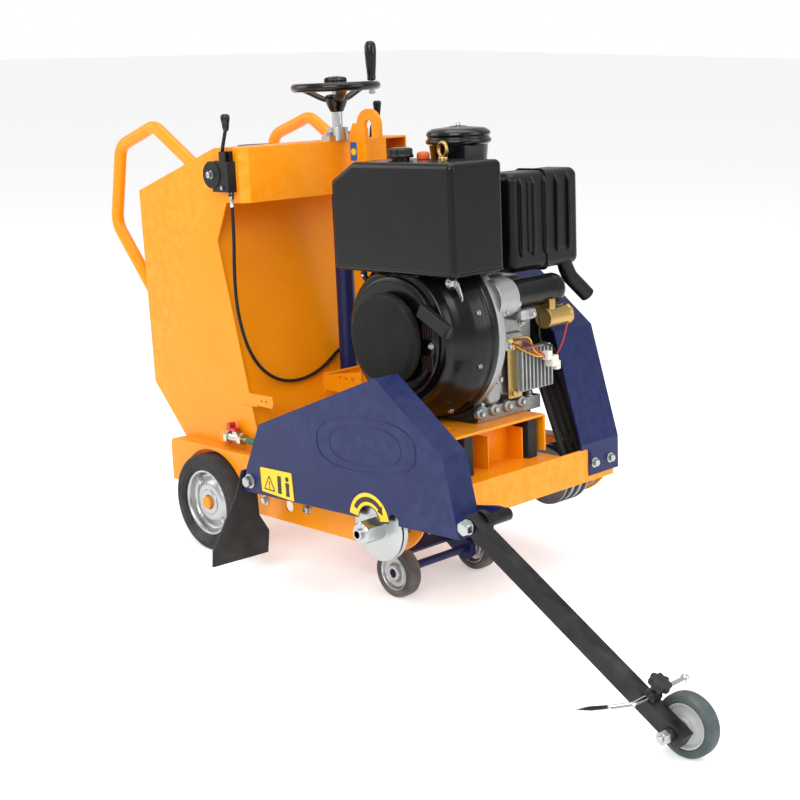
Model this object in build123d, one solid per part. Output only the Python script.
from build123d import *
import math
import os

# Walk-behind concrete saw, standing in its transport position on five wheels.
# Every sub-part is drawn in the chassis frame: X forward, Y to the machine's left, Z up,
# with the origin on the rear axle. One placement then pitches the whole machine nose-up.

# ---- driving dimensions, mm ----
PITCH = 3.4                 # nose-up angle of the chassis, degrees
REAR_R = 100.0              # rear tyre radius
FRONT_R = 48.0              # front tyre radius
GUIDE_R = 50.0              # guide tyre radius
FRONT_GROUND_X = 452.0      # front axle, ahead of the rear axle, along the ground
GUIDE_GROUND_X = 1201.0     # guide axle, ahead of the rear axle, along the ground
RIGHT = -264.0              # outer face of the right side plate
LEFT = 250.0                # outer face of the left side plate
PLATE = 4.0                 # chassis plate thickness
SHEET = 3.0                 # cover sheet thickness
RAIL_TOP = 113.0            # top of the side plates
BEAM_TOP = 114.0            # top of the folded cross members
RAIL_BOTTOM = -2.0          # straight bottom edge of the side plates
NOSE_X = 618.0              # back of the front channel's web
SHAFT_X = 552.0             # blade shaft
SHAFT_Z = 60.0
SHAFT_R = 15.0
ARBOR_R = 10.0              # threaded end that carries the blade
FLANGE_R = 60.0             # blade flanges
CHEEK_R = -232.0            # outer face of the tank's right cheek
CHEEK_L = 218.0             # outer face of the tank's left cheek
BOX_FRONT = 121.0           # front panel of the control box
BOX_TOP = 709.0
BOX_BOTTOM = 604.0
BOX_END = 146.0             # left end of the box's front panel
SCREW_X = 110.0             # depth screw
SCREW_Y = 24.0
WHEEL_Z = 815.0             # handwheel rim plane
CRANK_X = 445.0             # engine crankshaft
CRANK_Z = 364.0
BED_Z = 196.0               # top of the engine mounting plate
BLADE_Y = -316.5            # middle of the blade's plane, between the flanges
GUARD_Y = -334.0            # outer face of the blade guard
GUARD_DEPTH = 56.0
GUARD_PIVOT_X = 214.0
GUARD_PIVOT_Z = 92.0
BELT_Y = 157.0              # middle of the belt drive
BELT_OUT = 262.0            # outer face of the belt guard
CARRIAGE_X = 300.0          # carriage pivot
CARRIAGE_Z = 20.0
SHROUD_R = 167.0            # fan housing radius
ARM_X = 806.0               # guide arm pivot
ARM_Z = 119.0
ARM_Y = -343.0              # middle of the guide arm
ARM_SIZE = 26.0
THROTTLE_X = 61.0
THROTTLE_Z = 659.0
FIT = 0.05                  # radial running clearance
GAP = 0.5                   # clearance between bodies


def to_chassis(x, z):
    """A point given along and above the ground, as chassis X and Z."""
    c = math.cos(math.radians(PITCH))
    s = math.sin(math.radians(PITCH))
    return c * x + s * (z - REAR_R), -s * x + c * (z - REAR_R)


FRONT_X, FRONT_Z = to_chassis(FRONT_GROUND_X, FRONT_R)
GUIDE_X, GUIDE_Z = to_chassis(GUIDE_GROUND_X, GUIDE_R)


# ---- helpers ----
def block(x0, x1, y0, y1, z0, z1):
    """A box between two corners."""
    return Pos((x0 + x1) / 2, (y0 + y1) / 2, (z0 + z1) / 2) * Box(x1 - x0, y1 - y0, z1 - z0)


def soft_block(x0, x1, y0, y1, z0, z1, r):
    """A box with all its edges rounded."""
    solid = block(x0, x1, y0, y1, z0, z1)
    return fillet(solid.edges(), r)


def rod_x(y, z, r, x0, x1):
    return Pos((x0 + x1) / 2, y, z) * Rot(0, 90, 0) * Cylinder(r, x1 - x0)


def rod_y(x, z, r, y0, y1):
    return Pos(x, (y0 + y1) / 2, z) * Rot(90, 0, 0) * Cylinder(r, y1 - y0)


def rod_z(x, y, r, z0, z1):
    return Pos(x, y, (z0 + z1) / 2) * Cylinder(r, z1 - z0)


def tube_y(x, z, r_out, r_in, y0, y1):
    return rod_y(x, z, r_out, y0, y1) - rod_y(x, z, r_in, y0 - 1, y1 + 1)


def hex_y(x, z, flats, y0, y1):
    """A hexagon bar along Y."""
    prism = extrude(RegularPolygon(flats / 2, 6, major_radius=False), y1 - y0)
    return Pos(x, y0, z) * Rot(-90, 0, 0) * prism


def hex_x(y, z, flats, x0, x1):
    prism = extrude(RegularPolygon(flats / 2, 6, major_radius=False), x1 - x0)
    return Pos(x0, y, z) * Rot(0, 90, 0) * prism


def hex_z(x, y, flats, z0, z1):
    prism = extrude(RegularPolygon(flats / 2, 6, major_radius=False), z1 - z0)
    return Pos(x, y, z0) * prism


def plate_xz(points, y0, y1, r=0.0):
    """A flat plate with an X-Z outline, between y0 and y1."""
    outline = Polygon(*points, align=None)
    if r:
        outline = fillet(outline.vertices(), r)
    return extrude(Plane.XZ.offset(-y0) * outline, y1 - y0, dir=(0, 1, 0))


def plate_yz(points, x0, x1, r=0.0):
    """A flat plate with a Y-Z outline, between x0 and x1."""
    outline = Polygon(*points, align=None)
    if r:
        outline = fillet(outline.vertices(), r)
    return extrude(Plane.YZ.offset(x0) * outline, x1 - x0, dir=(1, 0, 0))


def turned_y(x, z, profile):
    """A ring turned about an axis along Y. The profile is (radius, y) pairs."""
    face = make_face(Polyline(*[(x + r, y, z) for r, y in profile], close=True))
    return revolve(face, Axis((x, 0, z), (0, 1, 0)), 360)


def turned_z(x, y, profile):
    """A body turned about a vertical axis. The profile is (radius, z) pairs."""
    face = make_face(Polyline(*[(x + r, y, z) for r, z in profile], close=True))
    return revolve(face, Axis((x, y, 0), (0, 0, 1)), 360)


def pipe(points, radii, r_out):
    """A round bar along straight runs joined by tangent arcs."""
    path = FilletPolyline(*points, radius=radii)
    section = Plane(origin=points[0], z_dir=path % 0) * Circle(r_out)
    return sweep(section, path)


def cord_radii(points):
    """Bend radii as large as each pair of runs allows."""
    radii = []
    for before, here, after in zip(points, points[1:], points[2:]):
        run_in = Vector(*here) - Vector(*before)
        run_out = Vector(*after) - Vector(*here)
        turn = math.radians(run_in.get_angle(run_out))
        shorter = min(run_in.length, run_out.length)
        radii.append(0.45 * shorter / math.tan(turn / 2))
    return radii


# ---- chassis ----
def side_plate(outer, inward):
    """A side plate with a folded top flange, a rear wheel arch and a rounded nose."""
    y0, y1 = sorted((outer, outer + inward * PLATE))
    tail_x = -138.0
    tail_z = 24.0
    nose_r = 100.0
    arch_r = 107.0
    outline = [(tail_x, tail_z), (tail_x, RAIL_TOP), (NOSE_X, RAIL_TOP), (NOSE_X, RAIL_BOTTOM),
               (95, RAIL_BOTTOM), (95, tail_z)]
    plate = plate_xz(outline, y0, y1)
    corner = [e for e in plate.edges().filter_by(Axis.Y)
              if abs(e.center().X - NOSE_X) < 1 and e.center().Z < 20]
    plate = fillet(corner, nose_r)
    heel = [e for e in plate.edges().filter_by(Axis.Y)
            if abs(e.center().X - tail_x) < 1 and e.center().Z > 50]
    plate = fillet(heel, 12)
    plate -= rod_y(0, 0, arch_r, y0 - 1, y1 + 1)
    flange_y = outer + inward * 32
    f0, f1 = sorted((outer + inward * PLATE, flange_y))
    plate += block(-126, 540, f0, f1, RAIL_TOP - PLATE, RAIL_TOP)
    plate -= rod_y(240, 31, 12, y0 - 1, y1 + 1)
    plate -= rod_y(SHAFT_X, SHAFT_Z, 26, y0 - 1, y1 + 1)
    return plate


def front_frame():
    """The folded front channel, the two cross walls behind it and the engine bed brackets."""
    low = 48.0
    high = BEAM_TOP
    web = 4.0
    y0 = RIGHT + PLATE
    y1 = LEFT - PLATE
    wall_x = 596.0
    channel = block(NOSE_X, NOSE_X + web, RIGHT, LEFT, low, high)
    channel += block(wall_x - 60, NOSE_X, y0 + 30, 95, high - web, high)
    wall_z0 = high - 1
    wall = block(wall_x - 60, wall_x - 57, -190, 60, wall_z0, 176)
    wall += block(wall_x - 60, wall_x - 20, -60, -57, wall_z0, 176)
    wall += block(wall_x - 60, wall_x - 20, 34, 37, wall_z0, 176)
    beam = block(250, 254, y0 + 30, 95, 70, high)
    beam += block(225, 250, y0 + 30, 95, high - web, high)
    rail = block(250, NOSE_X - 60, -134, -102, high - web, high)
    rail += block(250, NOSE_X - 60, 41, 95, high - web, high)
    return channel + wall + beam + rail


def rear_deck():
    """The tail plate between the side plates, with the rear axle welded below it."""
    inner_r = RIGHT + 32
    inner_l = LEFT - 32
    deck = block(-126, 120, inner_r, inner_l, RAIL_TOP - PLATE, RAIL_TOP)
    deck += block(-126, -122, inner_r, inner_l, 30, RAIL_TOP - PLATE)
    axle_r = 12.5
    deck += rod_y(0, 0, axle_r, -285, 271)
    for y in (-150, 140):
        deck += block(-20, 20, y - 4, y + 4, -16, RAIL_TOP - PLATE)
    return deck


def engine_mount_plate():
    """The folded plate that the engine stands on, with its slotted bolt holes."""
    front = 590.0
    rear = 300.0
    y0 = -172.0
    y1 = 86.0
    thick = 5.0
    plate = block(rear, front, y0, y1, BED_Z - thick, BED_Z)
    plate += block(rear, front, y1 - thick, y1, 124, BED_Z - thick)
    bend = [e for e in plate.edges().filter_by(Axis.X) if e.center().Y > y1 - 1 and e.center().Z > BED_Z - 1]
    plate = fillet(bend, 6)
    for x in (360, 530):
        for y in (-110, -20, 60):
            plate -= rod_z(x, y, 6, BED_Z - 10, BED_Z + 1)
    return plate


def rubber_mounts():
    """Four pairs of rubber blocks under the engine plate."""
    solids = []
    for x in (345, 565):
        for y in (-118, 57):
            solids.append(block(x - 18, x + 18, y - 12, y + 12, 114, BED_Z - 5))
    return Compound(children=solids)


def rear_tyre(middle):
    half = 25.0
    bead = 66.0
    profile = [(bead, middle - 17), (bead + 6, middle - half), (REAR_R - 9, middle - half),
               (REAR_R - 2, middle - half + 6), (REAR_R, middle - half + 13),
               (REAR_R, middle + half - 13), (REAR_R - 2, middle + half - 6),
               (REAR_R - 9, middle + half), (bead + 6, middle + half), (bead, middle + 17)]
    return turned_y(0, 0, profile)


def rear_rim(middle, outward):
    """A pressed steel rim: two dished halves on a hub that runs on the axle."""
    axle_r = 12.5
    rim = tube_y(0, 0, 66, 62, middle - 17, middle + 17)
    y_face = middle + outward * 8
    f0, f1 = sorted((y_face, y_face + outward * 3))
    rim += tube_y(0, 0, 63, 30, f0, f1)
    rim += tube_y(0, 0, 31, 26, *sorted((middle, y_face + outward * 3)))
    h0, h1 = sorted((middle - outward * 20, middle + outward * 14))
    rim += tube_y(0, 0, 27, axle_r + FIT, h0, h1)
    for i in range(4):
        a = math.radians(45 + 90 * i)
        head = (f0, f1 + 4) if outward > 0 else (f0 - 4, f1)
        rim += hex_y(47 * math.cos(a), 47 * math.sin(a), 13, *head)
    return rim


def front_carriage():
    """The welded lifting carriage: pivot tube, two legs, cross plate and axle stubs."""
    right = -148.0
    left = 4.0
    pivot_half = 170.0
    mid = (right + left) / 2
    body = rod_y(CARRIAGE_X, CARRIAGE_Z, 17, mid - pivot_half, mid + pivot_half)
    dx = FRONT_X - CARRIAGE_X
    dz = FRONT_Z - CARRIAGE_Z
    length = math.hypot(dx, dz)
    angle = math.degrees(math.atan2(dz, dx))
    for y in (right, left):
        leg = SlotCenterToCenter(length, 44)
        flat = Plane.XZ.offset(6 - y) * Pos(CARRIAGE_X + dx / 2, CARRIAGE_Z + dz / 2) * Rot(0, 0, angle) * leg
        bar = extrude(flat, 12, dir=(0, 1, 0))
        body += bar
    cross = block(-20, 20, right, left, -4, 4)
    body += Pos(CARRIAGE_X + dx * 0.72, 0, CARRIAGE_Z + dz * 0.72) * Rot(0, -angle, 0) * cross
    axle_r = 8.0
    body += rod_y(FRONT_X, FRONT_Z, axle_r, right - 36, left + 42)
    return body


def front_tyre(middle):
    half = 15.0
    profile = [(34, middle - half), (FRONT_R - 4, middle - half), (FRONT_R, middle - half + 4),
               (FRONT_R, middle + half - 4), (FRONT_R - 4, middle + half), (34, middle + half)]
    return turned_y(FRONT_X, FRONT_Z, profile)


def front_rim(middle):
    axle_r = 8.0
    profile = [(axle_r + FIT, middle - 16), (16, middle - 16), (18, middle - 5), (30, middle - 5),
               (31, middle - 14), (34, middle - 14), (34, middle + 14), (31, middle + 14),
               (30, middle + 5), (18, middle + 5), (16, middle + 16), (axle_r + FIT, middle + 16)]
    return turned_y(FRONT_X, FRONT_Z, profile)


# ---- water tank and control box ----
NOTCH_X = 25.0
NOTCH_Z = 528.0
FOOT_X = 124.0
FILLER_X = -120.0
SLOPE = (FOOT_X - NOTCH_X) / (NOTCH_Z - RAIL_TOP)


def panel_x(z):
    """X of the tank's front panel at a height."""
    return NOTCH_X - 6 + SLOPE * (NOTCH_Z - z)


def tank_outline():
    return [(-229, 619), (panel_x(686), 686), (panel_x(RAIL_TOP), RAIL_TOP), (-126, RAIL_TOP), (-223, 219)]


def water_tank():
    """A welded hollow tank between two cheek plates, with a bracket tab and an outlet boss."""
    inner = [(-225, 616), (panel_x(682) - 3, 682), (panel_x(117) - 3, 117), (-123, 117), (-219, 221)]
    y0 = CHEEK_R + SHEET
    y1 = CHEEK_L - SHEET
    tank = plate_xz(tank_outline(), y0, y1) - plate_xz(inner, y0 + SHEET, y1 - SHEET)
    cheek = [(-232, 621), (34, BOX_TOP), (BOX_FRONT - 14, BOX_TOP), (BOX_FRONT - 14, BOX_BOTTOM), (62, BOX_BOTTOM),
             (NOTCH_X, NOTCH_Z), (FOOT_X, RAIL_TOP), (-129, RAIL_TOP), (-226, 218)]
    tank += plate_xz(cheek, CHEEK_R, y0)
    tank += plate_xz(cheek, y1, CHEEK_L)
    boss = rod_y(20, 134, 15, CHEEK_R - 14, CHEEK_R)
    tank += fillet(boss.edges().group_by(Axis.Y)[0], 5)
    tab = plate_xz([(60, 230), (62, 208), (166, 207), (168, 230)], CHEEK_R, CHEEK_R + 4)
    tab = tab + rod_y(158, 218.5, 11.5, CHEEK_R, CHEEK_R + 4)
    for x in (134, 148):
        tab -= rod_y(x, 218.5, 2.5, CHEEK_R - 1, CHEEK_R + 5)
    tank += tab
    tank -= rod_z(FILLER_X, 0, 34, 600, 710)
    tank += rod_z(FILLER_X, 0, 38, 640, 690) - rod_z(FILLER_X, 0, 34, 600, 700)
    return tank


def tank_cap():
    """A screw cap over the filler neck."""
    cap = rod_z(FILLER_X, 0, 44, 676, 702) - rod_z(FILLER_X, 0, 38 + FIT, 670, 690 + GAP)
    return fillet(cap.edges().group_by(Axis.Z)[-1], 3)


def control_box():
    """The folded control box: top plate, front panel and a chamfered right corner. Its left end is open."""
    y0 = CHEEK_R + SHEET
    back_x = panel_x(686) - 4
    top = plate_xz([(back_x, 690), (36, BOX_TOP), (BOX_FRONT - 14, BOX_TOP), (BOX_FRONT - 14, BOX_TOP - SHEET),
                    (37, BOX_TOP - SHEET), (back_x + 1, 687)], y0, CHEEK_L - SHEET)
    top += block(BOX_FRONT - 14, BOX_FRONT, y0 + 12, 199, BOX_TOP - SHEET, BOX_TOP)
    front = block(BOX_FRONT - SHEET, BOX_FRONT, y0 + 12, BOX_END, BOX_BOTTOM, BOX_TOP - SHEET)
    corner = Polygon((BOX_FRONT - 14, y0 - SHEET), (BOX_FRONT, y0 + 12), (BOX_FRONT - SHEET, y0 + 12),
                     (BOX_FRONT - 14, y0 + 1), align=None)
    front += Pos(0, 0, BOX_BOTTOM) * extrude(corner, BOX_TOP - BOX_BOTTOM, dir=(0, 0, 1))
    floor_x = panel_x(BOX_BOTTOM)
    floor = block(floor_x, BOX_FRONT - SHEET, y0 + 12, BOX_END, BOX_BOTTOM, BOX_BOTTOM + SHEET)
    box = top + front + floor
    box -= rod_z(SCREW_X, SCREW_Y, 7.6, BOX_BOTTOM - 1, BOX_TOP + 1)
    box -= block(38, 112, BOX_END + 5, BOX_END + 16, BOX_TOP - 10, BOX_TOP + 1)
    return box


def handles():
    """Two bent tube handles, welded to the tank's slanted top and its back wall."""
    loops = []
    for y in (CHEEK_R + 16, CHEEK_L - 16):
        points = [(-46, y, 668), (-183, y, 752), (-310, y, 711), (-347, y, 548), (-212, y, 390)]
        loops.append(pipe(points, [40, 40, 46], 13))
    trim = plate_xz(tank_outline(), -300, 300)
    return Compound(children=[loop - trim for loop in loops])


# ---- depth control ----
def crank_place():
    """The crank grip's place on the rim."""
    turn = math.radians(75)
    return SCREW_X + 82 * math.cos(turn), SCREW_Y + 82 * math.sin(turn)


def handwheel():
    """A dished handwheel with three spokes."""
    rim_r = 82.0
    tube_r = 8.5
    grip_x, grip_y = crank_place()
    ring = []
    for i in range(12):
        a = math.radians(15 + 30 * i)
        ring.append((rim_r + tube_r * math.cos(a), WHEEL_Z + tube_r * math.sin(a)))
    wheel = turned_z(SCREW_X, SCREW_Y, ring)
    hub = turned_z(SCREW_X, SCREW_Y, [(8 + FIT, 766), (15, 766), (19, 776), (23, 792), (20, 800), (8 + FIT, 800)])
    wheel += hub
    for i in range(3):
        angle = 90 + 120 * i
        spoke = plate_xz([(12, 780), (24, 778), (58, 800), (rim_r, 809), (rim_r, 818), (56, 810), (12, 796)], -9, 9)
        wheel += Pos(SCREW_X, SCREW_Y, 0) * Rot(0, 0, angle) * spoke
    wheel -= rod_z(grip_x, grip_y, 4 + FIT, WHEEL_Z - 12, WHEEL_Z + 12)
    return wheel - rod_z(SCREW_X, SCREW_Y, 8 + FIT, 760, 806)


def crank_grip():
    """The spinning grip with its pin and nut."""
    x, y = crank_place()
    grip = turned_z(x, y, [(0, WHEEL_Z + 9), (9, WHEEL_Z + 9), (8, WHEEL_Z + 24), (11, WHEEL_Z + 52),
                           (12, WHEEL_Z + 78), (9, WHEEL_Z + 86), (0, WHEEL_Z + 88)])
    grip += rod_z(x, y, 4, WHEEL_Z - 16, WHEEL_Z + 9)
    grip += hex_z(x, y, 12, WHEEL_Z - 18, WHEEL_Z - 10)
    return grip


def lock_knob():
    """The star knob that clamps the handwheel on its spindle."""
    knob = rod_z(SCREW_X, SCREW_Y, 18, 821, 835)
    for i in range(6):
        a = math.radians(60 * i)
        knob += rod_z(SCREW_X + 17 * math.cos(a), SCREW_Y + 17 * math.sin(a), 6, 821, 835)
    knob += rod_z(SCREW_X, SCREW_Y, 9, 807, 821)
    return knob


def depth_screw():
    """The spindle: a plain neck through the bearing and a screw down the column."""
    screw = rod_z(SCREW_X, SCREW_Y, 8, 760, 806)
    screw += rod_z(SCREW_X, SCREW_Y, 11, BOX_TOP, 766)
    screw += rod_z(SCREW_X, SCREW_Y, 7, 596, BOX_TOP)
    screw += rod_z(SCREW_X, SCREW_Y, 10, 255, 596)
    return screw


def spindle_bearing():
    """The cast flange bearing on the box, with two bolted ears."""
    bearing = rod_z(SCREW_X, SCREW_Y, 21, BOX_TOP, 735)
    for s in (-1, 1):
        bearing += block(SCREW_X - 12, SCREW_X + 12, min(SCREW_Y, SCREW_Y + s * 34), max(SCREW_Y, SCREW_Y + s * 34),
                         BOX_TOP, BOX_TOP + 10)
        bearing += hex_z(SCREW_X, SCREW_Y + s * 28, 12, BOX_TOP + 10, BOX_TOP + 17)
    bearing -= rod_z(SCREW_X, SCREW_Y, 11 + FIT, BOX_TOP - 1, 740)
    return bearing


def screw_column():
    """The round column that guards the depth screw."""
    foot = 236.0
    column = rod_z(SCREW_X, SCREW_Y, 19, foot, BOX_BOTTOM) - rod_z(SCREW_X, SCREW_Y, 15, foot + 4, BOX_BOTTOM + 1)
    return column + block(91, 134, SCREW_Y - 30, SCREW_Y + 30, foot - 5, foot)


def lifting_plate():
    """The upright plate with the open lifting hook at its top."""
    y0 = 28.0
    y1 = 38.0
    left = 137.0
    right = 186.0
    hook_x = 194.0
    hook_z = 738.0
    plate = plate_xz([(left, 118), (left, 716), (150, hook_z + 4), (hook_x, hook_z), (right, 700), (right, 118)],
                     y0, y1)
    plate += rod_y(hook_x, hook_z, 32, y0, y1)
    plate += block(hook_x + 10, hook_x + 32, y0, y1, 713, hook_z)
    plate -= rod_y(hook_x, hook_z, 11, y0 - 1, y1 + 1)
    plate -= block(hook_x - 8, hook_x + 11, y0 - 1, y1 + 1, 690, hook_z)
    foot = block(left, 250, y0 + 10, y0 + 14, BEAM_TOP, 150)
    plate += foot
    return plate


def gusset():
    """The drilled bracket plate that ties the column to the chassis."""
    plate = plate_xz([(134, 214), (250, 214), (250, 262), (134, 244)], -70, -66)
    for x in (185, 204, 223):
        plate -= rod_y(x, 244, 4, -71, -65)
    plate += block(134, 138, -70, 28, 209, 244)
    return plate


# ---- hand levers ----
def throttle_housing():
    """The lever housings: right side for the throttle, left end of the box for the depth lock."""
    x = THROTTLE_X - 3
    z = THROTTLE_Z
    solids = []
    body = rod_y(x - 10, z, 26, CHEEK_R - 22, CHEEK_R - 6)
    body += block(x - 10, x + 40, CHEEK_R - 20, CHEEK_R, z - 33, z + 25)
    body += block(x + 16, x + 34, CHEEK_R - 20, CHEEK_R, z + 25, z + 44)
    body -= rod_y(x - 10, z, 5 + FIT, CHEEK_R - 30, CHEEK_R + 1)
    pocket = [(36, z - 13), (60, z - 13), (94, z + 13), (100, z + 54), (46, z + 54), (36, z + 22)]
    body -= plate_xz(pocket, CHEEK_R - 16.5, CHEEK_R - 7.5)
    solids.append(body)
    ear = block(22, 62, BOX_END, BOX_END + 4, THROTTLE_Z + 6, BOX_TOP - 11)
    ear += block(42, 62, BOX_END, BOX_END + 4, BOX_TOP - 11, BOX_TOP - SHEET)
    ear -= rod_y(40, THROTTLE_Z + 22, 5 + FIT, BOX_END - 1, BOX_END + 6)
    solids.append(ear)
    adjuster = rod_z(x + 36, CHEEK_R - 11, 3.5, z - 62, z - 33)
    adjuster += hex_z(x + 36, CHEEK_R - 11, 10, z - 41, z - 33)
    solids.append(adjuster)
    return Compound(children=solids)


def lever(x, y, z, tip_x, tip_z):
    """A bent lever with a pivot pin and a ball-topped knob."""
    shaft = pipe([(x, y, z), (x + 24, y, z + 22), (x + 28, y, z + 48), (tip_x, y, tip_z - 14)], [12, 16], 3.5)
    pin = rod_y(x, z, 5, y - 13, y + 8) + rod_y(x, z, 9, y - 3, y + 3)
    knob = turned_z(tip_x, y, [(0, tip_z - 18), (5, tip_z - 18), (7, tip_z - 6), (9, tip_z + 10), (6, tip_z + 14),
                               (0, tip_z + 14)])
    return shaft + pin + knob


# ---- water ----
VALVE_X = 62.0
VALVE_Z = 137.0
VALVE_Y = -246.0


def water_fittings():
    """The ball valve screwed into the tank's boss, and the spray elbow on the ledge."""
    valve = rod_x(VALVE_Y, VALVE_Z, 10, 36, 88)
    valve += hex_x(VALVE_Y, VALVE_Z, 24, 36, 46) + hex_x(VALVE_Y, VALVE_Z, 22, 78, 88)
    valve += rod_x(VALVE_Y, VALVE_Z, 5, 88, 100)
    valve += rod_z(VALVE_X, VALVE_Y, 7, VALVE_Z, VALVE_Z + 14)
    valve -= rod_z(VALVE_X, VALVE_Y, 3 + FIT, VALVE_Z + 6, VALVE_Z + 20)
    elbow = rod_z(430, VALVE_Y, 8, RAIL_TOP, 150) + rod_x(VALVE_Y, 141, 5, 404, 430)
    return Compound(children=[valve, elbow])


def valve_handle():
    """The red lever of the ball valve."""
    handle = block(VALVE_X - 18, VALVE_X + 7, VALVE_Y - 7, VALVE_Y + 7, VALVE_Z + 14.3, VALVE_Z + 20)
    handle += block(VALVE_X - 18, VALVE_X - 8, VALVE_Y - 7, VALVE_Y + 7, VALVE_Z + 20, VALVE_Z + 30)
    handle += rod_z(VALVE_X, VALVE_Y, 3, VALVE_Z + 7, VALVE_Z + 16)
    return handle


HOSE_ROUTE = [(100, -246, 137), (146, -246, 137), (200, -247, 132), (255, -248, 138), (308, -247, 146),
              (358, -246, 141), (404, -246, 141)]
CABLE_ROUTE = [(94, -243, 597), (94, -243, 540), (92, -246, 480), (91, -246, 420), (91, -238, 362),
               (91, -219, 306), (93, -186, 262), (95, -140, 237), (95, -85, 234), (92, -30, 250), (84, 24, 282),
               (85, 76, 296), (118, 118, 300), (175, 134, 290), (232, 128, 292), (286, 106, 290), (334, 78, 288)]


# ---- blade side ----
GUARD_OUTLINE = [(190, 69), (207, 120), (250, 207), (573, 331), (729, 218), (762, 82)]


def blade_guard():
    """The folded guard: an outer plate with a rim, cut out for the arbor, on a rear hinge ear."""
    inner = [(194, 60), (211, 119), (253, 204), (572, 327), (725.5, 216), (758, 60)]
    y1 = GUARD_Y + GUARD_DEPTH
    guard = plate_xz(GUARD_OUTLINE, GUARD_Y, y1) - plate_xz(inner, GUARD_Y + SHEET, y1 + 1)
    guard -= rod_y(545, 75, 30, GUARD_Y - 1, GUARD_Y + SHEET + 1)
    guard -= block(515, 575, GUARD_Y - 1, GUARD_Y + SHEET + 1, 40, 75)
    guard -= rod_y(605, 84, 13, GUARD_Y - 1, GUARD_Y + SHEET + 1) + block(592, 618, GUARD_Y - 1, GUARD_Y + SHEET + 1, 60, 84)
    guard += tube_y(GUARD_PIVOT_X, GUARD_PIVOT_Z, 12, 6 + FIT, GUARD_Y + SHEET, y1)
    guard -= rod_y(GUARD_PIVOT_X, GUARD_PIVOT_Z, 6 + FIT, GUARD_Y - 1, y1 + 1)
    return guard


def mud_flap():
    """The rubber flap behind the guard, on a folded strip."""
    x = 183.0
    return plate_yz([(-331, 108), (-300, 108), (-296, 12), (-274, -24), (-280, -68), (-414, -65), (-411, -34),
                     (-351, 58)], x, x + 5)


def guard_strip():
    """The steel strip that holds the flap to the guard's back edge."""
    return block(188, 191, -331, -300, 74, 108) + block(188, 206, -331, -303, 71, 74)


def blade_shaft():
    """The shaft with its welded inner flange and threaded end."""
    face = BLADE_Y + 1.5
    shaft = rod_y(SHAFT_X, SHAFT_Z, SHAFT_R, face, 215)
    shaft += rod_y(SHAFT_X, SHAFT_Z, ARBOR_R, BLADE_Y - 54.5, face)
    shaft += turned_y(SHAFT_X, SHAFT_Z, [(0, face + 15), (30, face + 15), (FLANGE_R, face + 9), (FLANGE_R, face),
                                         (0, face)])
    shaft += rod_y(SHAFT_X, SHAFT_Z, 26, face + 15, -284)
    return shaft


def outer_flange():
    """The loose outer flange that clamps the blade."""
    face = BLADE_Y - 1.5
    return turned_y(SHAFT_X, SHAFT_Z, [(ARBOR_R + FIT, face - 6), (24, face - 6), (FLANGE_R - 1, face - 4),
                                       (FLANGE_R, face - 3), (FLANGE_R, face - 1), (FLANGE_R - 3, face),
                                       (ARBOR_R + FIT, face)])


def arbor_nut():
    """The long hexagon nut on the shaft's end."""
    near = BLADE_Y - 7.5
    nut = hex_y(SHAFT_X, SHAFT_Z, 38, near - 42, near)
    nut -= rod_y(SHAFT_X, SHAFT_Z, ARBOR_R + FIT, near - 43, near + 1)
    return nut


def shaft_bearings():
    """Two bearing housings bolted inside the side plates."""
    solids = []
    for y0, y1 in ((-280, -240), (200, 240)):
        housing = tube_y(SHAFT_X, SHAFT_Z, 25, SHAFT_R + FIT, y0, y1)
        f0, f1 = ((RIGHT + PLATE, RIGHT + PLATE + 12) if y0 < 0 else (LEFT - PLATE - 12, LEFT - PLATE))
        housing += tube_y(SHAFT_X, SHAFT_Z, 44, 24, f0, f1)
        solids.append(housing)
    return Compound(children=solids)


# ---- belt drive ----
def grooved_pulley(x, z, r, bore, y0, y1):
    """A pulley with three V grooves."""
    pitch = (y1 - y0) / 3
    profile = [(bore, y0), (r, y0)]
    for i in range(3):
        start = y0 + pitch * i
        profile += [(r, start + 4.5), (r - 10, start + 4.5), (r - 10, start + pitch - 4.5), (r, start + pitch - 4.5)]
    profile += [(r, y1), (bore, y1)]
    return turned_y(x, z, profile)


def drive_belts():
    """Three V-belts round the two pulleys."""
    lower_r = 58.0
    upper_r = 44.0
    dx = SHAFT_X - CRANK_X
    dz = SHAFT_Z - CRANK_Z
    length = math.hypot(dx, dz)
    lean = math.asin((lower_r - upper_r) / length)
    heading = math.atan2(dz, dx)
    solids = []
    for i in range(3):
        y = BELT_Y + 22 * (i - 1)
        outer = _belt_loop(heading, lean, upper_r, lower_r, 0.5)
        inner = _belt_loop(heading, lean, upper_r, lower_r, -9.2)
        solids.append(plate_xz(outer, y - 6, y + 6) - plate_xz(inner, y - 7, y + 7))
    return Compound(children=solids)


def _belt_loop(heading, lean, upper_r, lower_r, grow):
    """Points round both pulleys, at the pulleys' radii plus grow."""
    points = []
    for k in range(25):
        a = heading + math.pi / 2 + lean + math.pi * k / 24
        points.append((CRANK_X + (upper_r + grow) * math.cos(a), CRANK_Z + (upper_r + grow) * math.sin(a)))
    for k in range(25):
        a = heading - math.pi / 2 - lean + math.pi * k / 24
        points.append((SHAFT_X + (lower_r + grow) * math.cos(a), SHAFT_Z + (lower_r + grow) * math.sin(a)))
    return points


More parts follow.
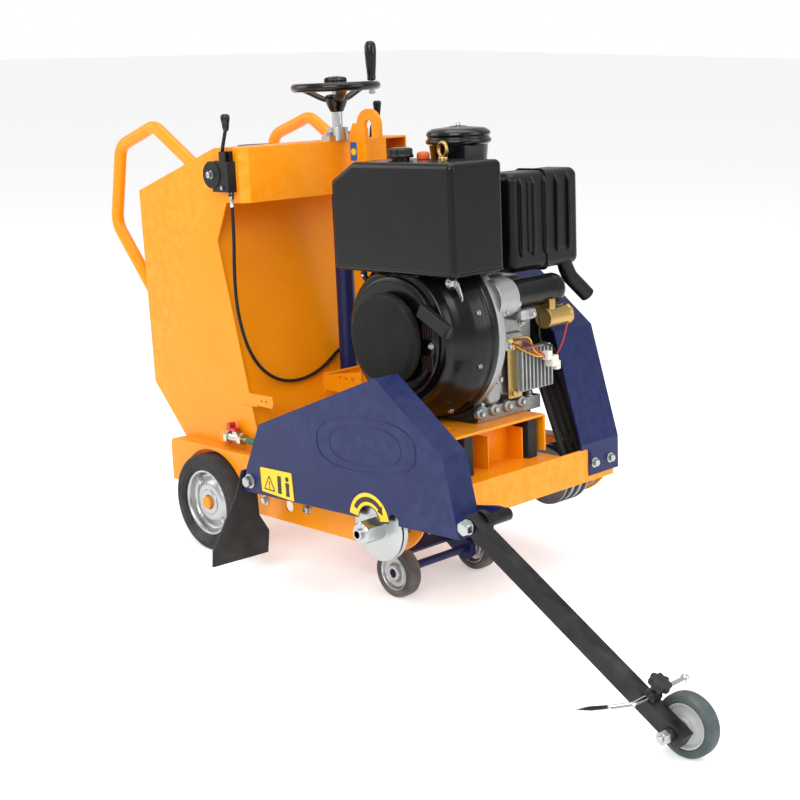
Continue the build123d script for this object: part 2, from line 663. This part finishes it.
def belt_guard():
    """The folded belt cover, open towards the engine, with a bolted tab on the front channel."""
    outline = [(470, BEAM_TOP), (372, 300), (362, 436), (424, 447), (562, 340), (625, 124), (625, BEAM_TOP)]
    inner = [(470, 100), (376, 301), (366, 432), (422, 442), (558, 338), (621, 122), (621, 100)]
    guard = plate_xz(outline, 150, BELT_OUT) - plate_xz(inner, 149, BELT_OUT - SHEET)
    guard += block(470, 625, BELT_OUT - SHEET, BELT_OUT, 70, BEAM_TOP)
    guard += block(622, 625, 172, BELT_OUT, 60, BEAM_TOP)
    return guard


# ---- engine ----
def crankcase():
    """The crankcase casting with its feet, timing side cover, cylinder block and head."""
    case = block(366, 526, -54, 122, BED_Z + 14, 450)
    case = chamfer(case.edges().filter_by(Axis.Y), 30)
    case += block(342, 548, -54, 122, BED_Z, BED_Z + 26)
    case += block(376, 466, -24, 112, 440, 600)
    for i in range(5):
        case += block(368, 476, -30, 116, 470 + 24 * i, 476 + 24 * i)
    case += rod_y(CRANK_X, CRANK_Z, 76, -78, -54)
    case += soft_block(520, 545, -20, 30, 250, 330, 6)
    case += rod_y(575, 428, 36, -50, 0) + block(480, 575, -50, 0, 400, 452)
    case -= rod_y(CRANK_X, CRANK_Z, 16 + FIT, -80, 130)
    return case


def fan_shroud():
    """The round fan housing with cooling slots, open at the back."""
    shell = rod_y(CRANK_X, CRANK_Z, SHROUD_R, -168, -80)
    shell = fillet(shell.edges().group_by(Axis.Y)[0], 24)
    hollow = rod_y(CRANK_X, CRANK_Z, SHROUD_R - 4, -164, -78)
    hollow = fillet(hollow.edges().group_by(Axis.Y)[0], 22)
    above = block(CRANK_X - 200, CRANK_X + 200, -200, 0, 474, 600)
    shell = (shell - above) - (hollow - Pos(0, 0, -4) * above)
    shell -= rod_y(CRANK_X, CRANK_Z, 62, -180, -150)
    for i in range(16):
        a = math.radians(22.5 * i)
        slot = block(100, 138, -170, -160, -5, 5)
        shell -= Pos(CRANK_X, 0, CRANK_Z) * Rot(0, -math.degrees(a), 0) * slot
    shell += tube_y(CRANK_X, CRANK_Z, SHROUD_R, 77, -82, -79) - above
    foot = plate_xz([(400, BED_Z), (548, BED_Z), (540, 262), (410, 225)], -83, -79)
    return shell + (foot - rod_y(CRANK_X, CRANK_Z, SHROUD_R - 2, -90, -70))


def recoil_cover():
    """The round pull-start cover."""
    cover = rod_y(CRANK_X, CRANK_Z, 84, -184, -168) - rod_y(CRANK_X, CRANK_Z, 78, -181, -160)
    return fillet(cover.edges().group_by(Axis.Y)[0], 2.5)


def recoil_grip():
    """The pull grip parked in its rest on the shroud."""
    grip = Box(80, 17, 26)
    grip = fillet(grip.edges().filter_by(Axis.Z), 6)
    return Pos(CRANK_X + 122, -177.5, CRANK_Z + 42) * Rot(0, 28, 0) * grip


def crankshaft():
    """The crankshaft with the flywheel inside the fan housing."""
    shaft = rod_y(CRANK_X, CRANK_Z, 16, -130, 122)
    shaft += rod_y(CRANK_X, CRANK_Z, 14, 122, 196)
    shaft += turned_y(CRANK_X, CRANK_Z, [(0, -146), (104, -146), (104, -128), (96, -120), (96, -92), (0, -92)])
    return shaft


def fuel_tank():
    """The moulded fuel tank over the fan housing, with a filler neck."""
    tank = block(292, 606, -165, -32, 480, 680)
    tank = chamfer([e for e in tank.edges().filter_by(Axis.Y) if e.center().X < 300 and e.center().Z > 600], 34, 60)
    tank = fillet(tank.edges(), 11)
    tank -= soft_block(306, 594, -159, -38, 486, 640, 8)
    tank += rod_z(412, -95, 17, 676, 690)
    return tank


def fuel_cap():
    cap = rod_z(412, -95, 22, 682, 702) - rod_z(412, -95, 17 + FIT, 680, 690 + GAP)
    return fillet(cap.edges().group_by(Axis.Z)[-1], 2)


def muffler():
    """The silencer box with pressed ribs and a short angled outlet pipe."""
    box = soft_block(486, 565, 34, 228, 464, 648, 16)
    for y in (60, 84, 128, 172):
        box += soft_block(560, 568, y - 7, y + 7, 500, 632, 3)
    outlet = pipe([(548, 190, 480), (556, 206, 440), (566, 246, 400)], [30], 15)
    bore = pipe([(548, 190, 470), (556, 206, 440), (566.6, 248.4, 397.6)], [30], 13)
    return (box - soft_block(492, 559, 40, 222, 470, 642, 10)) + (outlet - bore)


def air_cleaner():
    """The air cleaner pot with its domed lid."""
    pot = turned_z(421, 50, [(0, 600), (46, 600), (50, 606), (52, 660), (56, 700), (62, 704), (62, 709), (58, 714), (58, 722),
                             (50, 730), (20, 735), (0, 735)])
    return pot


def starter_motor():
    """The starter motor and its solenoid."""
    motor = rod_y(575, 428, 29, 0.3, 148)
    motor = fillet(motor.edges().group_by(Axis.Y)[-1], 5)
    solenoid = rod_y(592, 378, 20, 84, 150) + rod_y(592, 378, 5, 150, 168)
    strap = block(560, 600, 92, 104, 392, 412)
    return Compound(children=[motor + strap + solenoid])


def regulator():
    """The finned voltage regulator on its bracket."""
    unit = block(552, 566, 38, 134, 240, 322)
    for i in range(9):
        y = 42 + 10.5 * i
        unit += block(566, 574, y, y + 4, 243, 319)
    unit -= block(550, 558, 9, 71, 245, 335)
    unit += block(526, 552, 76, 120, 256, 306)
    return unit


# ---- guide arm ----
def guide_bracket():
    """The bracket from the front channel to the guide arm's pivot."""
    x0 = NOSE_X + 4.0
    bracket = block(x0, x0 + 6, -272, -190, 52, 110)
    bracket += plate_xz([(x0, 56), (x0, 108), (ARM_X, ARM_Z + 11), (ARM_X, ARM_Z - 11)], -272, -264)
    bracket += rod_y(ARM_X, ARM_Z, 11, -312, -264)
    bracket += rod_y(ARM_X, ARM_Z, 8, -366, -312)
    bracket += hex_y(ARM_X, ARM_Z, 22, -368, -358)
    return bracket


def guide_arm():
    """The square arm with its pivot eye and the wheel's axle bolt."""
    dx = GUIDE_X - ARM_X
    dz = GUIDE_Z - ARM_Z
    length = math.hypot(dx, dz)
    angle = math.degrees(math.atan2(dz, dx))
    y0 = ARM_Y - ARM_SIZE / 2
    y1 = ARM_Y + ARM_SIZE / 2
    bar = block(-14, length + 20, y0, y1, -ARM_SIZE / 2, ARM_SIZE / 2)
    bar -= block(16, length + 10, y0 + 3, y1 - 3, -ARM_SIZE / 2 + 3, ARM_SIZE / 2 - 3)
    arm = Pos(ARM_X, 0, ARM_Z) * Rot(0, -angle, 0) * bar
    arm += rod_y(ARM_X, ARM_Z, 20, y1, y1 + 12)
    arm -= rod_y(ARM_X, ARM_Z, 8 + FIT, y0 - 1, y1 + 20)
    arm += rod_y(GUIDE_X, GUIDE_Z, 7, y0 - 8, -292)
    arm += hex_y(GUIDE_X, GUIDE_Z, 19, y0 - 10, y0)
    arm += rod_y(GUIDE_X, GUIDE_Z, 11, y1, -327)
    arm += hex_y(GUIDE_X, GUIDE_Z, 19, -294, -286)
    rod_at = _rod_point()
    arm += rod_y(*rod_at, 11, ARM_Y - 10, ARM_Y + 10)
    arm -= rod_y(*rod_at, 5 + FIT, y0 - 5, y1 + 5)
    arm -= _knob_hole()
    return arm


def _rod_point():
    """The pointer rod's place, on the arm's upper face near the wheel."""
    dx = GUIDE_X - ARM_X
    dz = GUIDE_Z - ARM_Z
    length = math.hypot(dx, dz)
    along = length - 58.0
    up = ARM_SIZE / 2 + 5.0
    return (ARM_X + along * dx / length - up * dz / length, ARM_Z + along * dz / length + up * dx / length)


def _knob_hole():
    """The clamp screw's hole, square to the arm, above the pointer rod."""
    x, z = _rod_point()
    angle = math.degrees(math.atan2(GUIDE_Z - ARM_Z, GUIDE_X - ARM_X))
    return Pos(x, ARM_Y, z) * Rot(0, -angle, 0) * Pos(0, 0, 10) * Cylinder(4 + FIT, 20)


def guide_tyre():
    profile = [(36, -324), (GUIDE_R - 5, -324), (GUIDE_R, -318), (GUIDE_R, -302), (GUIDE_R - 5, -296), (36, -296)]
    return turned_y(GUIDE_X, GUIDE_Z, profile)


def guide_rim():
    profile = [(7 + FIT, -325), (15, -325), (16, -314), (31, -314), (33, -322), (36, -322), (36, -298), (33, -298),
               (31, -306), (16, -306), (15, -295), (7 + FIT, -295)]
    return turned_y(GUIDE_X, GUIDE_Z, profile)


def pointer_rod():
    """The chromed pointer rod with its ball end and flattened, bent tip."""
    x, z = _rod_point()
    rod = rod_y(x, z, 5, -374, -262)
    rod += Pos(x, -262, z) * Sphere(7.5)
    bend = pipe([(x, -372, z), (x, -392, z), (x - 22, -420, z - 2)], [12], 5)
    tip = Polygon((0, -7), (30, -8), (52, 0), (30, 8), (0, 7), align=None)
    blade = extrude(tip, 5, dir=(0, 0, 1))
    heading = math.degrees(math.atan2(-28, -22))
    rod += bend + Pos(x - 20, -417, z - 4.5) * Rot(0, 0, heading) * blade
    return rod


def guide_knob():
    """The lobed clamp knob over the pointer rod."""
    x, z = _rod_point()
    angle = math.degrees(math.atan2(GUIDE_Z - ARM_Z, GUIDE_X - ARM_X))
    knob = Pos(0, 0, 26) * Cylinder(14, 14)
    for i in range(8):
        a = math.radians(45 * i)
        knob += Pos(14 * math.cos(a), 14 * math.sin(a), 26) * Cylinder(4.5, 14)
    knob += Pos(0, 0, 13) * Cylinder(4, 15)
    return Pos(x, ARM_Y, z) * Rot(0, -angle, 0) * knob


def frame_bolts():
    """Hexagon bolts that stand on the frame, the guard pivot among them."""
    solids = []
    y_out = GUARD_Y - 10
    pivot = rod_y(GUARD_PIVOT_X, GUARD_PIVOT_Z, 6, y_out, RIGHT)
    pivot += hex_y(GUARD_PIVOT_X, GUARD_PIVOT_Z, 19, y_out, GUARD_Y - GAP)
    pivot += rod_y(GUARD_PIVOT_X, GUARD_PIVOT_Z, 10, -277, RIGHT)
    solids.append(pivot)
    for x, z in ((155, 71), (169, 31), (296, 35)):
        solids.append(hex_y(x, z, 15, RIGHT - 8, RIGHT))
    for y, z in ((188, 84), (236, 84)):
        solids.append(hex_x(y, z, 15, 625, 633))
    for x in (354, 537):
        for y in (-34, 100):
            solids.append(hex_z(x, y, 16, BED_Z + 26, BED_Z + 36))
    return Compound(children=solids)


# ---- assembly ----
def build_nodes():
    """Every sub-part, in the chassis frame, by node name."""
    rear_right = RIGHT - 1.0
    rear_left = LEFT + 1.0
    right_wheel = -178.0
    left_wheel = 34.0
    lock_y = BOX_END + 10.0
    nodes = {
        "side_plates": Compound(children=[side_plate(RIGHT, 1), side_plate(LEFT, -1)]),
        "front_frame": front_frame(),
        "rear_deck": rear_deck(),
        "engine_mount_plate": engine_mount_plate(),
        "rubber_mounts": rubber_mounts(),
        "rear_tyre_right": rear_tyre(rear_right),
        "rear_rim_right": rear_rim(rear_right, -1),
        "rear_tyre_left": rear_tyre(rear_left),
        "rear_rim_left": rear_rim(rear_left, 1),
        "front_carriage": front_carriage(),
        "front_tyre_right": front_tyre(right_wheel),
        "front_rim_right": front_rim(right_wheel),
        "front_tyre_left": front_tyre(left_wheel),
        "front_rim_left": front_rim(left_wheel),
        "water_tank": water_tank(),
        "tank_cap": tank_cap(),
        "control_box": control_box(),
        "handles": handles(),
        "handwheel": handwheel(),
        "crank_grip": crank_grip(),
        "lock_knob": lock_knob(),
        "depth_screw": depth_screw(),
        "spindle_bearing": spindle_bearing(),
        "screw_column": screw_column(),
        "lifting_plate": lifting_plate() + gusset(),
        "lever_housings": throttle_housing(),
        "throttle_lever": lever(THROTTLE_X - 13, CHEEK_R - 12, THROTTLE_Z, THROTTLE_X + 30, THROTTLE_Z + 100),
        "depth_lock_lever": lever(40, lock_y, THROTTLE_Z + 22, 88, THROTTLE_Z + 110),
        "throttle_cable": pipe(CABLE_ROUTE, cord_radii(CABLE_ROUTE), 3.5),
        "water_fittings": water_fittings(),
        "valve_handle": valve_handle(),
        "water_hose": pipe(HOSE_ROUTE, cord_radii(HOSE_ROUTE), 7),
        "blade_guard": blade_guard() + guard_strip(),
        "mud_flap": mud_flap(),
        "blade_shaft": blade_shaft(),
        "outer_flange": outer_flange(),
        "arbor_nut": arbor_nut(),
        "shaft_bearings": shaft_bearings(),
        "driven_pulley": grooved_pulley(SHAFT_X, SHAFT_Z, 58, SHAFT_R, BELT_Y - 33, BELT_Y + 33),
        "drive_pulley": grooved_pulley(CRANK_X, CRANK_Z, 44, 14, BELT_Y - 33, BELT_Y + 33),
        "drive_belts": drive_belts(),
        "belt_guard": belt_guard(),
        "crankcase": crankcase(),
        "fan_shroud": fan_shroud(),
        "recoil_cover": recoil_cover(),
        "recoil_grip": recoil_grip(),
        "crankshaft": crankshaft(),
        "fuel_tank": fuel_tank(),
        "fuel_cap": fuel_cap(),
        "muffler": muffler(),
        "air_cleaner": air_cleaner(),
        "starter_motor": starter_motor(),
        "regulator": regulator(),
        "guide_bracket": guide_bracket(),
        "guide_arm": guide_arm(),
        "guide_tyre": guide_tyre(),
        "guide_rim": guide_rim(),
        "pointer_rod": pointer_rod(),
        "guide_knob": guide_knob(),
        "frame_bolts": frame_bolts(),
    }
    return nodes


def main():
    os.makedirs("parts", exist_ok=True)
    nodes = build_nodes()
    pitched = Pos(0, 0, REAR_R) * Rot(0, -PITCH, 0)
    standing = {name: pitched * shape for name, shape in nodes.items()}
    boxes = [shape.bounding_box() for shape in standing.values()]
    low = [min(b.min.X for b in boxes), min(b.min.Y for b in boxes), min(b.min.Z for b in boxes)]
    high = [max(b.max.X for b in boxes), max(b.max.Y for b in boxes)]
    mid_x = (low[0] + high[0]) / 2
    mid_y = (low[1] + high[1]) / 2
    origin = Pos(-mid_x, -mid_y, 0)
    print("row origin", mid_x, mid_y, "lowest", low[2])
    for name, shape in standing.items():
        solids = (origin * shape).solids()
        part = solids[0] if len(solids) == 1 else Compound(children=list(solids))
        part.label = name
        export_step(part, f"parts/{name}.step")
    print("cable radii", cord_radii(CABLE_ROUTE))
    print("hose radii", cord_radii(HOSE_ROUTE))
    print(len(standing), "nodes")


main()
